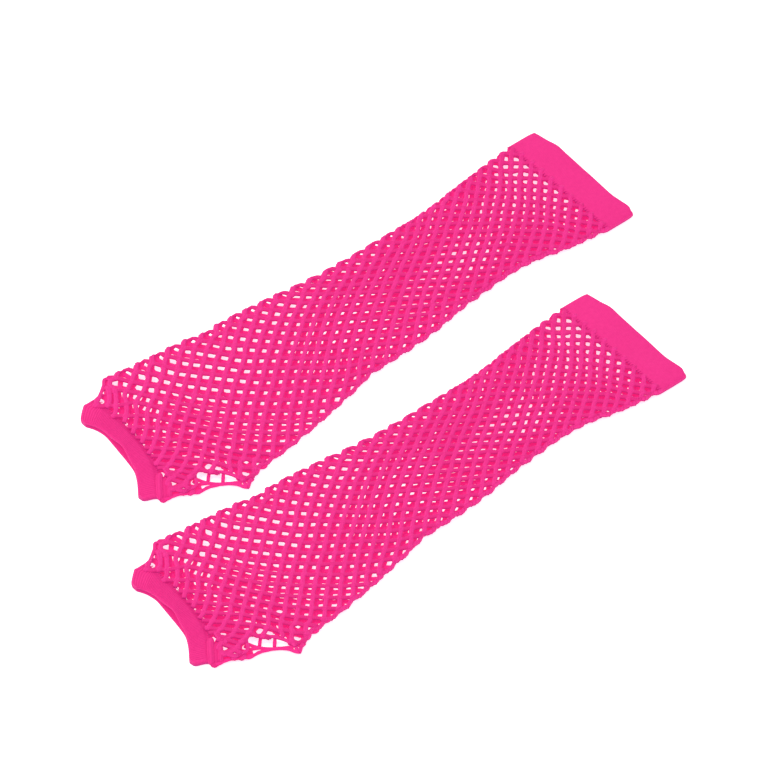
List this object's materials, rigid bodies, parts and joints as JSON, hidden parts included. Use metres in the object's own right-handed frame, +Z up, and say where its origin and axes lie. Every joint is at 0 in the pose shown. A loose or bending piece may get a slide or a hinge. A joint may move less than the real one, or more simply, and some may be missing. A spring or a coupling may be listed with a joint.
{
  "type": "pair of mesh gloves",
  "caption": "Pair of long fingerless arm gloves of diamond net with a ribbed knuckle band, a thumb slit and a smooth arm cuff, laid flat side by side.",
  "frame": {"origin": "middle of both gloves in plan, on the surface they lie on", "axes": "X runs along the gloves from the fingers to the arm, Y across them towards the folded edge of each glove, Z up from the surface"},
  "size_m": [0.421, 0.2378, 0.0062],
  "materials": {
    "net": "hot pink soft knitted net cord, matt",
    "jersey": "hot pink fine smooth jersey, matt",
    "rib": "hot pink fine elastic rib, matt"
  },
  "bodies": {
    "root": {"glove_1_net": "net", "glove_1_arm_cuff": "jersey", "glove_1_knuckle_band": "rib", "glove_2_net": "net", "glove_2_arm_cuff": "jersey", "glove_2_knuckle_band": "rib"}
  },
  "joints": []
}
